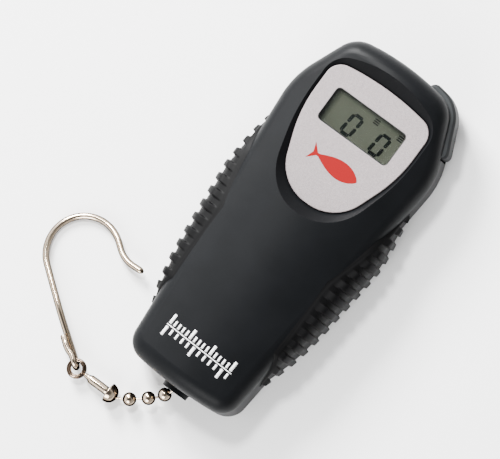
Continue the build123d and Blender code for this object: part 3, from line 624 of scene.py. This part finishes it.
def tick_scale():
    """Two rows of scale ticks either side of a long line, lying on the crowned face."""
    parts = []
    for count, pitch, foot, way in TICK_ROWS:
        for i in range(count):
            wide, tall = TICK if i % 5 else FIFTH_TICK
            x = FIRST_TICK_X + i * pitch
            sides = np.array([x - wide / 2, x + wide / 2])
            parts.append((strip(sides, foot, foot + way * tall), grid_faces(2, 2)[:, ::-way]))
    line = strip(np.linspace(*LONG_LINE, 40), SCALE_Y - LONG_LINE_HALF, SCALE_Y + LONG_LINE_HALF)
    points, faces = joined(parts + [(line, grid_faces(2, 40))])
    x, y = points[:, 0], points[:, 1] - SCALE_Y
    spun_x = x * cos(SCALE_TURN) - y * sin(SCALE_TURN)
    spun_y = x * sin(SCALE_TURN) + y * cos(SCALE_TURN) + SCALE_Y
    spun = np.stack([spun_x, spun_y, crown_height(spun_x) + INK_LIFT], axis=-1)
    piece = mesh_piece("scale_print", spun, faces, INK_WHITE, "housing")
    piece.modifiers.new("ink_thickness", "SOLIDIFY").thickness = INK_THICK * MM
    return piece


tick_scale()

# ---------------------------------------------------------------- swivel and hook
joints = {joint["name"]: joint for joint in frame["joints"]}
SWIVEL = np.array(joints["swivel_spin"]["pos_m"]) / MM
RING = np.array(joints["hook_swing"]["pos_m"]) / MM
BACK = np.array([-1.0, 0.0, 0.0])       # the swivel lies along -X
# corners of (distance along the swivel, radius); the bell's run is its outside, its rim, the floor
# across its mouth and its inside
BELL_CORNERS = (
    (-0.12, 0.58), (-0.12, 1.2), (0.5, 2.4), (1.5, 3.15), (2.6, 3.5), (3.3, 3.55), (3.3, 3.1), (2.9, 3.0),
    (2.9, 0.95), (2.6, 0.95), (2.6, 2.4), (1.3, 2.1), (0.4, 1.4), (0.13, 0.9), (0.13, 0.58), (-0.12, 0.58))
STEM_CORNERS = (
    (2.1, 0.01), (2.1, 1.3), (2.5, 1.3), (2.5, 0.85), (3.05, 0.85), (3.2, 1.25), (3.5, 1.45), (4.2, 1.55),
    (7.2, 1.58), (10.6, 1.55), (11.2, 1.3), (11.9, 0.95), (13.4, 0.75), (13.6, 0.01))
# the eye is wound from thin wire, two turns stacked and an outer turn round their middle:
# radius of the turn, its height, radius of the wire
WINDINGS = ((2.45, 0.32, 0.48), (2.45, -0.32, 0.48), (3.05, 0.0, 0.5))


def turned_piece(name, corners, cut, body, stands_for):
    """A bright plated piece turned round the swivel's axis."""
    points, faces = turned(rounded_profile(corners, cut), SWIVEL, BACK)
    return mesh_piece(name, points, faces[:, ::-1], NICKEL, body, [stands_for])


def eye_ring():
    """The swivel's eye: each winding is a circle of wire."""
    turn = np.linspace(0, 2 * pi, 97)
    loops = []
    for wind_r, height, wire_r in WINDINGS:
        path = RING + np.stack([wind_r * np.cos(turn), wind_r * np.sin(turn), 0 * turn + height], axis=-1)
        loops.append(tube(path, wire_r, (0, 0, 1), 14))
    points, faces = joined(loops)
    return mesh_piece("eye_ring", points, faces[:, ::-1], WORN, "swivel", ["swivel_ring"])


turned_piece("bell_cap", BELL_CORNERS, 0.35, "swivel_bell", "swivel_bell")
turned_piece("swivel_stem", STEM_CORNERS, 0.3, "swivel", "swivel_barrel")
eye_ring()

WIRE_R = 1.15
RING_R = 2.75                           # from the ring's middle to the middle of the hook's eye
EYE_R = 2.2
BOW_R = 12.9
SHANK = 34.65
BOW_RETURN = 2.38                       # straight length after the bow
LIP_TURN = radians(40.0)                # the reverse bend before the point
LIP_R = 11.0
TIP = 4.25                              # straight length of the point
SHANK_RISE = 20.0                       # the shank comes up level over this length
# shares of the point's length, and the wire's radius at its last five as a share of the full radius
TIP_SHARES = (0.3, 0.5, 0.65, 0.73, 0.84, 0.93, 0.985, 1.0)
TIP_TAPER = (0.97, 0.78, 0.56, 0.42, 0.2)
HEADING = radians(143.0)
TILT = radians(5.6)
OUT = np.array([cos(HEADING), sin(HEADING), 0.0])
ALONG = np.array([cos(TILT) * cos(HEADING), cos(TILT) * sin(HEADING), -sin(TILT)])
ACROSS = np.array([OUT[1], -OUT[0], 0.0])
ABOVE = -np.cross(ALONG, ACROSS)
EYE_POINT = RING + OUT * RING_R
# corners of the doubled-back tail, as (along the shank, across, up), and its last point
TAIL_CORNERS = ((0, 0, EYE_R), (1.8, 0, EYE_R), (4.4, -1.0, 2.3), (9.0, -1.0, 2.4))
TAIL_END = (9.2, -1.0, 2.404)


def hook_points(s, t, h):
    """Points given along the shank, across towards the bow, and up from the middle of the eye."""
    s, t, h = np.broadcast_arrays(np.asarray(s, float), t, h)
    return EYE_POINT + s[:, None] * ALONG + t[:, None] * ACROSS + h[:, None] * ABOVE


def hook_piece():
    """The wire hook in two lengths: shank, bow, reverse bend and point, then the eye and its tail."""
    bow = np.linspace(-pi / 2, pi / 2, 90)
    back = np.linspace(0, LIP_TURN, 16)
    shank = np.linspace(0, SHANK, 30)[:-1]
    s = np.concatenate([shank, SHANK + BOW_R * np.cos(bow), SHANK - BOW_RETURN - LIP_R * np.sin(back)])
    t = np.concatenate([0 * shank, BOW_R + BOW_R * np.sin(bow), 2 * BOW_R + LIP_R * (1 - np.cos(back))])
    reach = TIP * np.array(TIP_SHARES)
    s = np.concatenate([s, s[-1] - reach * cos(LIP_TURN)])
    t = np.concatenate([t, t[-1] + reach * sin(LIP_TURN)])
    radius = np.concatenate([np.full(len(s) - len(TIP_TAPER), 1.0), TIP_TAPER]) * WIRE_R
    # the shank leaves the eye at its underside and comes up level with the eye's top
    h = np.full(len(s), EYE_R)
    h[:len(shank)] = EYE_R * (2 * smoothstep(shank / SHANK_RISE) - 1)
    main = tube(hook_points(s, t, h), radius, ABOVE, 24)
    bend = np.linspace(-pi / 2, pi / 2, 30)
    eye = np.stack([-EYE_R * np.cos(bend), 0 * bend, EYE_R * np.sin(bend)], axis=-1)
    path = np.vstack([eye, rounded_profile(TAIL_CORNERS, 1.6, 9)[1:], [TAIL_END]])
    tail_radius = np.full(len(path), WIRE_R)
    tail_radius[-1] = WIRE_R * 0.9
    tail = tube(hook_points(*path.T), tail_radius, ACROSS, 24)
    points, faces = joined([main, tail])
    return mesh_piece("wire_hook", points, faces[:, ::-1], NICKEL, "hook", ["hook"])


hook_piece()

# ---------------------------------------------------------------- floor, light and camera
floor_material = new_material("pale_floor", Base_Color=srgb("f7f7f7"), Roughness=0.9)[0]
bpy.ops.mesh.primitive_plane_add(size=6.0)
floor = bpy.context.object
floor.name = "floor"
floor.data.materials.append(floor_material)


def soft_room():
    """A white surround, bright at the walls and dim overhead and towards +X: the black shell stays dark."""
    world = bpy.data.worlds.new("soft_room")
    bpy.context.scene.world = world
    world.use_nodes = True
    tree = world.node_tree
    sky = node(tree, "ShaderNodeTexCoord", {}).outputs["Generated"]
    split = node(tree, "ShaderNodeSeparateXYZ", {"Vector": sky}).outputs
    dim = node(tree, "ShaderNodeMapRange", {"Value": split["Z"], "From Min": 0.5, "From Max": 0.9,
                                            "To Min": 3.4, "To Max": 0.15})
    aside = node(tree, "ShaderNodeMapRange", {"Value": split["X"], "From Min": -0.5, "From Max": 0.7,
                                              "To Min": 1.0, "To Max": 0.2})
    strength = node(tree, "ShaderNodeMath", {0: dim.outputs["Result"], 1: aside.outputs["Result"]},
                    operation="MULTIPLY")
    feed(tree, tree.nodes["Background"], {"Color": (1, 1, 1, 1), "Strength": strength.outputs[0]})


def soft_box(name, place, aim, size, power):
    """A square area light at place, turned to face aim."""
    lamp = bpy.data.lights.new(name, "AREA")
    lamp.size = size
    lamp.energy = power
    holder = bpy.data.objects.new(name, lamp)
    bpy.context.scene.collection.objects.link(holder)
    holder.location = place
    holder.rotation_euler = (Vector(aim) - Vector(place)).to_track_quat("-Z", "Y").to_euler()


AIM = (-0.012, -0.009, 0.010)
soft_room()
soft_box("key", (-0.80, 0.45, 0.60), AIM, 0.4, 60.0)
soft_box("near_camera", (-0.34, 0.30, 1.0), AIM, 0.16, 16.0)
soft_box("fill", (0.2, -0.9, 0.6), AIM, 0.6, 16.0)

VIEW_TILT = radians(10.0)               # the camera leans towards +X
ROLL = radians(36.3)                    # the object's +Y points this far clockwise of up
DISTANCE = 3.0
VIEW_WIDTH = 500 / 2.95 * MM            # width of the view at the object
SENSOR_MM = 36.0
toward = Vector((sin(VIEW_TILT), 0, cos(VIEW_TILT)))
level_right = Vector((cos(VIEW_TILT), 0, -sin(VIEW_TILT)))
level_up = Vector((0, 1, 0))
cam_right = level_right * cos(ROLL) + level_up * sin(ROLL)
cam_up = level_up * cos(ROLL) - level_right * sin(ROLL)
cam_data = bpy.data.cameras.new("camera")
cam_data.sensor_width = SENSOR_MM
cam_data.lens = SENSOR_MM * DISTANCE / VIEW_WIDTH
camera = bpy.data.objects.new("camera", cam_data)
bpy.context.scene.collection.objects.link(camera)
axes = Matrix((cam_right, cam_up, toward)).transposed().to_4x4()
camera.matrix_world = Matrix.Translation(Vector(AIM) + toward * DISTANCE) @ axes
bpy.context.scene.camera = camera
